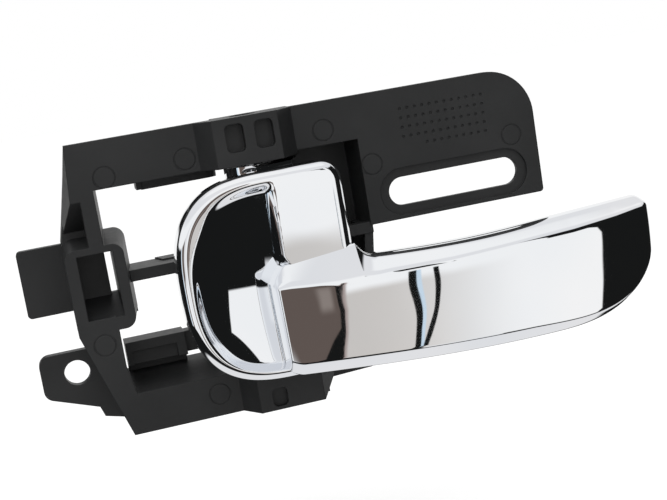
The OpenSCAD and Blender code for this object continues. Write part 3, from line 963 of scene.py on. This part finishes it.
@dataclass
class LeverCore:
    """What carries the cup on the pin: hubs, neck, stop cheek and cable arm.

    The hundredths of a millimetre in its heights keep the faces of joined solids out of one plane.
    """

    hinge: Hinge
    cup_back: float = -34.2
    cup_top: float = 48.9
    arm_low: float = 19.4
    arm_high: float = 27.4
    cable_y: float = -7.8
    cable_radius: float = 2.6
    stop_face: float = -8.7
    cheek_right: float = 70.6

    def _round(self, name: str, x: float, y: float, radius: float, low: float, high: float) -> Any:
        """A round column."""
        turn = np.radians(np.arange(0, 360, 5))
        return prism(name, list(zip(x + radius * np.cos(turn), y + radius * np.sin(turn))), low, high)

    def build(self) -> list[Any]:
        """Makes the columns and arms.

        Returns:
            The solids that are joined to the cup.
        """
        x, y = self.hinge.x, self.hinge.y
        neck = [(x - 5, y), (x - 6.5, self.cup_back), (x + 6.5, self.cup_back), (x + 5, y)]
        cheek = [(x - 1, y), (x - 1, self.cup_back), (x + 9, self.cup_back + 3.1), (x + 11.5, y - 4),
                 (self.cheek_right, y + 7), (self.cheek_right, self.stop_face), (64.0, self.stop_face),
                 (x, y + self.hinge.hub_radius - 0.2)]
        r = self.hinge.hub_radius
        return [
            self._round("hub_high", x, y, r, self.arm_high - 0.01, self.hinge.high),
            prism("neck_high", neck, self.arm_high - 0.02, self.cup_top - 1),
            self._round("hub_low", x, y, r, self.hinge.low, 3.6),
            prism("neck_low", neck, self.hinge.low + 0.02, 3.58),
            self._round("hub_arm", x, y, r, self.arm_low, self.arm_high),
            prism("neck_arm", neck, self.arm_low + 0.02, self.arm_high - 0.03),
            prism("cheek", cheek, self.hinge.high - 3, self.hinge.high - 0.02),
            prism("arm", [(x - 4.6, y), (x + 4.6, y), (x + 4.6, self.cable_y), (x - 4.6, self.cable_y)],
                  self.arm_low + 0.03, self.arm_high - 0.04),
            self._round("arm_end", x, self.cable_y, self.cable_radius + 1.9, self.arm_low + 0.01,
                        self.arm_high - 0.01),
        ]

    def bores(self) -> list[Any]:
        """The bore for the pin, the seat for the cable end and its slit.

        Returns:
            The cutting solids.
        """
        x, y = self.hinge.x, self.hinge.y
        slit = [(x - 12, self.cable_y - 0.8), (x, self.cable_y - 0.8), (x, self.cable_y + 0.8),
                (x - 12, self.cable_y + 0.8)]
        return [
            self._round("pin_bore", x, y, self.hinge.bore_radius, self.hinge.low - 1, self.hinge.high + 1),
            self._round("cable_bore", x, self.cable_y, self.cable_radius, self.arm_low - 1,
                        self.arm_high + 1),
            prism("cable_slit", slit, self.arm_low - 1.1, self.arm_high + 1.1),
        ]


@dataclass
class Lever:
    """The plated lever, one moulding made of cup, grip and core."""

    hinge: Hinge

    def build(self, material: Any) -> Any:
        """Makes the lever's shell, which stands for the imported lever.

        Args:
            material: The plating.

        Returns:
            The finished piece.
        """
        cup, core = Cup(self.hinge), LeverCore(self.hinge)
        grip = Grip(self.hinge, cup)
        piece = cup.build()
        piece.name = piece.data.name = "lever_shell"
        for cutter in cup.hollows():
            combine(piece, cutter, Cut.REMOVE)
        combine(piece, grip.build(), Cut.JOIN)
        for part in core.build():
            combine(piece, part, Cut.JOIN)
        for cutter in (*core.bores(), *grip.hollows()):
            combine(piece, cutter, Cut.REMOVE)
        smooth(piece)
        dress(piece, material)
        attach(piece, Body.LEVER.value)
        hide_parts("lever")
        return piece


# Return spring


@dataclass
class ReturnSpring:
    """The return spring: one round wire on a coiled path, with a straight leg at each end."""

    hinge: Hinge
    wire: float = 1.5
    coil_radius: float = 4.6
    turns: int = 5
    low: float = 4.0
    first_angle: float = -55.0
    part_turn: float = 125.0
    cup_leg_y: float = -33.7
    post_leg_y: float = -8.9
    pitch_share: float = 1.08

    def path(self) -> np.ndarray:
        """The middle of the wire from the leg on the cup to the leg on the post.

        Returns:
            An array of x, y, z rows.
        """
        last = self.first_angle + self.part_turn + 360 * self.turns
        turn = np.radians(np.arange(self.first_angle, last + 0.1, 5.0))
        rise = self.wire * self.pitch_share * (np.degrees(turn) - self.first_angle) / 360
        coil = np.column_stack([self.hinge.x + self.coil_radius * np.cos(turn),
                                self.hinge.y + self.coil_radius * np.sin(turn),
                                self.low + self.wire / 2 + rise])
        legs = []
        for end, angle, target in ((0, turn[0], self.cup_leg_y), (-1, turn[-1], self.post_leg_y)):
            along = np.array([-math.sin(angle), math.cos(angle), 0.0])
            reach = (target - coil[end][1]) / along[1]
            legs.append(coil[end] + np.linspace(1.0, 0.02, 8)[:, None] * reach * along)
        return np.concatenate([legs[0], coil, legs[1][::-1]])

    def build(self, material: Any) -> Any:
        """Sweeps the wire along its path with Geometry Nodes, as a plain mesh.

        Args:
            material: The wire's finish.

        Returns:
            The finished piece.
        """
        route = self.path() * MM
        mesh = bpy.data.meshes.new("spring_wire")
        mesh.from_pydata(route.tolist(), [(k, k + 1) for k in range(len(route) - 1)], [])
        piece = bpy.data.objects.new("spring_wire", mesh)
        bpy.context.scene.collection.objects.link(piece)
        tree = self._tree(material)
        modifier = piece.modifiers.new("sweep", "NODES")
        modifier.node_group = tree
        sizes = {"Wire Radius": self.wire / 2 * MM, "Sides": 16}
        for socket in tree.interface.items_tree:
            if socket.in_out == "INPUT" and socket.name in sizes:
                modifier[socket.identifier] = sizes[socket.name]
        graph = bpy.context.evaluated_depsgraph_get()
        graph.update()
        made = bpy.data.meshes.new_from_object(piece.evaluated_get(graph))
        piece.modifiers.clear()
        piece.data = made
        face_inward_out(piece)
        smooth(piece, math.radians(50.0))
        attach(piece, Body.FRAME.value)
        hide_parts("return_spring")
        return piece

    @staticmethod
    def _tree(material: Any) -> Any:
        """Builds the node tree that gives a path a round section.

        Args:
            material: The finish that is set on the result.

        Returns:
            The node tree.
        """
        tree = bpy.data.node_groups.new("sweep_wire", "GeometryNodeTree")
        for name, way, kind in (("Path", "INPUT", "Geometry"), ("Wire Radius", "INPUT", "Float"),
                                ("Sides", "INPUT", "Int"), ("Wire", "OUTPUT", "Geometry")):
            tree.interface.new_socket(name=name, in_out=way, socket_type=f"NodeSocket{kind}")
        start, curve, circle, swept, real, dressed, end = (tree.nodes.new(kind) for kind in (
            "NodeGroupInput", "GeometryNodeMeshToCurve", "GeometryNodeCurvePrimitiveCircle",
            "GeometryNodeCurveToMesh", "GeometryNodeRealizeInstances", "GeometryNodeSetMaterial",
            "NodeGroupOutput"))
        for source, output, target, entry in (
                (start, "Path", curve, "Mesh"), (start, "Wire Radius", circle, "Radius"),
                (start, "Sides", circle, "Resolution"), (curve, "Curve", swept, "Curve"),
                (circle, "Curve", swept, "Profile Curve"), (swept, "Mesh", real, "Geometry"),
                (real, "Geometry", dressed, "Geometry"), (dressed, "Geometry", end, "Wire")):
            tree.links.new(source.outputs[output], target.inputs[entry])
        swept.inputs["Fill Caps"].default_value = True
        dressed.inputs["Material"].default_value = material
        return tree


# Studio


@dataclass
class Studio:
    """A plain pale floor, soft light, bright cards for the plating to mirror, and the camera."""

    camera_at: tuple[float, float, float] = (1.150, -349.62, 77.978)
    yaw: float = 12.4
    pitch: float = 9.35
    roll: float = -9.4
    lens: float = 67.466
    sensor: float = 36.0
    floor_z: float = -75.0
    light: float = 0.85

    def camera(self) -> None:
        """Sets the camera at the angle of the photograph."""
        yaw, pitch, roll = (math.radians(angle) for angle in (self.yaw, self.pitch, self.roll))
        forward = Vector((math.sin(yaw) * math.cos(pitch), math.cos(yaw) * math.cos(pitch), -math.sin(pitch)))
        right = Vector((math.cos(yaw), -math.sin(yaw), 0.0))
        up = right.cross(forward)
        turned_right = math.cos(roll) * right + math.sin(roll) * up
        turned_up = -math.sin(roll) * right + math.cos(roll) * up
        data = bpy.data.cameras.new("camera")
        data.lens, data.sensor_width, data.sensor_fit = self.lens, self.sensor, "HORIZONTAL"
        data.clip_start, data.clip_end = 0.01, 50.0
        camera = bpy.data.objects.new("camera", data)
        bpy.context.scene.collection.objects.link(camera)
        matrix = Matrix((turned_right, turned_up, -forward)).transposed().to_4x4()
        matrix.translation = Vector(self.camera_at) * MM
        camera.matrix_world = matrix
        bpy.context.scene.camera = camera

    def floor(self) -> None:
        """Lays the pale floor."""
        size = 4000.0
        floor = mesh_object("floor", np.array([[-size, -size, self.floor_z], [size, -size, self.floor_z],
                                               [size, size, self.floor_z], [-size, size, self.floor_z]]),
                            [(0, 1, 2, 3)])
        material, shader = new_material("pale_floor")
        seen = shader.node("ShaderNodeLightPath", output="Is Camera Ray")
        mottle = shader.noise(3.0)
        matt = shader.node("ShaderNodeBsdfDiffuse", None,
                           {"Color": shader.mix(mottle, (0.62, 0.62, 0.62), (0.6, 0.6, 0.6))})
        glow = shader.node("ShaderNodeEmission", None, {"Color": (1.0, 1.0, 1.0), "Strength": seen * 0.5})
        surface = shader.node("ShaderNodeAddShader", None, {0: matt, 1: glow})
        shader.node("ShaderNodeOutputMaterial", None, {"Surface": surface})
        dress(floor, material)
        floor.visible_glossy = False

    def world(self) -> None:
        """Lights the object from all round, and gives mirrors a studio of cards to show."""
        world = bpy.data.worlds.new("studio")
        bpy.context.scene.world = world
        world.use_nodes = True
        shader = Shader(world.node_tree)
        glossy = shader.node("ShaderNodeLightPath", output="Is Glossy Ray")
        seen = shader.node("ShaderNodeLightPath", output="Is Camera Ray")
        plain = shader.mix(seen, (self.light,) * 3, (1.0, 1.0, 1.0))
        colour = shader.mix(glossy, plain, self.cards(shader))
        surface = shader.node("ShaderNodeBackground", None, {"Color": colour, "Strength": 1.0})
        shader.node("ShaderNodeOutputWorld", None, {"Surface": surface})

    def cards(self, shader: Shader) -> Value:
        """Paints the cards round the object, by compass direction and height in degrees.

        Args:
            shader: The world's shader.

        Returns:
            The colour in each direction.
        """
        place = shader.node("ShaderNodeTexCoord", output="Generated")
        split = shader.node("ShaderNodeSeparateXYZ", None, {0: place}).socket.node
        x, y, z = (Value(shader, output) for output in split.outputs)
        turn = shader.node("ShaderNodeMath", {"operation": "ARCTAN2"}, {0: x, 1: y * -1.0}) * (180 / math.pi)
        height = shader.node("ShaderNodeMath", {"operation": "ARCSINE"}, {0: z}) * (180 / math.pi)
        white, grey, black = (0.95, 0.95, 0.945), (0.8, 0.8, 0.81), (0.009, 0.0095, 0.0095)
        tan, glow, pink = (0.125, 0.097, 0.085), (0.36, 0.31, 0.28), (0.4, 0.33, 0.31)
        blue, dusk = (0.6, 0.73, 0.84), (0.62, 0.59, 0.56)
        low = height * -1.0
        near, far, lower = low.over(11.0), low.over(8.5), low.step(6.4, 7.2)
        first, second = turn + near * near * 0.0155, turn + far * far * 0.024
        foot = turn + near * 0.1
        heel = foot + low.over(13.5) * 0.26
        wood = shader.mix(turn.band(7.1, 0.2, 0.45) * height.band(-9.0, 0.8, 1.8) * 0.6, tan, glow)
        wall = shader.layers(white, (
            (turn.step(26.0, 8.6) * low.step(8.0, 9.2), dusk),
            (foot.step(8.55, 8.3), pink),
            (foot.step(8.26, 8.2), black),
            (heel.step(7.96, 7.88), wood),
            (first.band(14.15, 0.21, 0.14) * lower, blue),
            (first.band(13.75, 0.28, 0.07) * lower, black),
            (second.band(15.85, 0.23, 0.07) * lower, black)))
        left = shader.layers(white, (
            (turn.step(-8.0, -14.0), grey),
            (turn.step(-30.0, -36.0), tan),
            (turn.step(-58.0, -61.0), white),
            (turn.band(-70.0, 3.0, 3.0), blue),
            (turn.band(-108.0, 35.0, 2.0), black),
            (turn.band(-33.0, 12.0, 3.0) * low.step(7.0, 10.0), white)))
        roof = shader.mix(height.band(45.0, 12.0, 12.0), white, grey)
        base = shader.mix(turn.band(18.0, 4.0, 0.5) * low.step(23.5, 22.5), black, grey)
        slant = (height + 8.2).over(0.0).at_most(7.5)
        return shader.layers(wall, (
            (turn.step(4.0, 1.0), left),
            (height.step(6.0, 9.0), roof),
            (height.band(14.0, 8.0, 3.0) * turn.band(14.9, 1.9, 0.4), black),
            (height.band(24.0, 22.0, 3.0) * turn.band(-148.0, 24.0, 3.0), black),
            ((turn + slant).step(34.9, 35.2), black),
            (turn.step(108.0, 114.0), white),
            ((height - turn.band(80.0, 28.0, 8.0) * 8.0).step(30.0, 36.0), roof),
            (height.step(-18.8, -19.4), base),
            (height.step(-38.0, -44.0), grey)))

    def lamps(self) -> None:
        """Hangs one soft lamp above and to the left."""
        data = bpy.data.lights.new("soft_lamp", "AREA")
        data.shape, data.size, data.energy = "DISK", 0.9, 5.0
        lamp = bpy.data.objects.new("soft_lamp", data)
        bpy.context.scene.collection.objects.link(lamp)
        lamp.matrix_world = Matrix.Translation((-0.2, -0.7, 1.1)) @ \
            Vector((-0.25, -0.7, 1.05)).to_track_quat("Z", "Y").to_matrix().to_4x4()
        lamp.visible_glossy = False

    def build(self) -> None:
        """Builds the whole studio."""
        self.camera()
        self.floor()
        self.world()
        self.lamps()
        scene = bpy.context.scene
        scene.view_settings.view_transform = "Standard"


# The whole scene


def main() -> None:
    """Loads the frame, dresses every node and builds the studio."""
    logging.basicConfig(level=logging.INFO, format="%(name)s: %(message)s")
    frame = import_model()
    Studio().build()
    hinge = Hinge()
    lever = Lever(hinge).build(Plating().build())
    LOG.info("%s has %d faces", lever.name, len(lever.data.polygons))
    spring = ReturnSpring(hinge).build(Steel("spring_wire_steel", (0.5, 0.51, 0.53)).build())
    LOG.info("%s has %d faces", spring.name, len(spring.data.polygons))
    finishes = {"bracket": Moulding().build(), "pivot_pin": Steel("pin_steel").build(),
                "stop_buffer": Rubber().build()}
    for node, material in finishes.items():
        dress(frame["nodes"][node], material)
        LOG.info("%s keeps its packed shape", node)


if __name__ == "__main__":
    main()
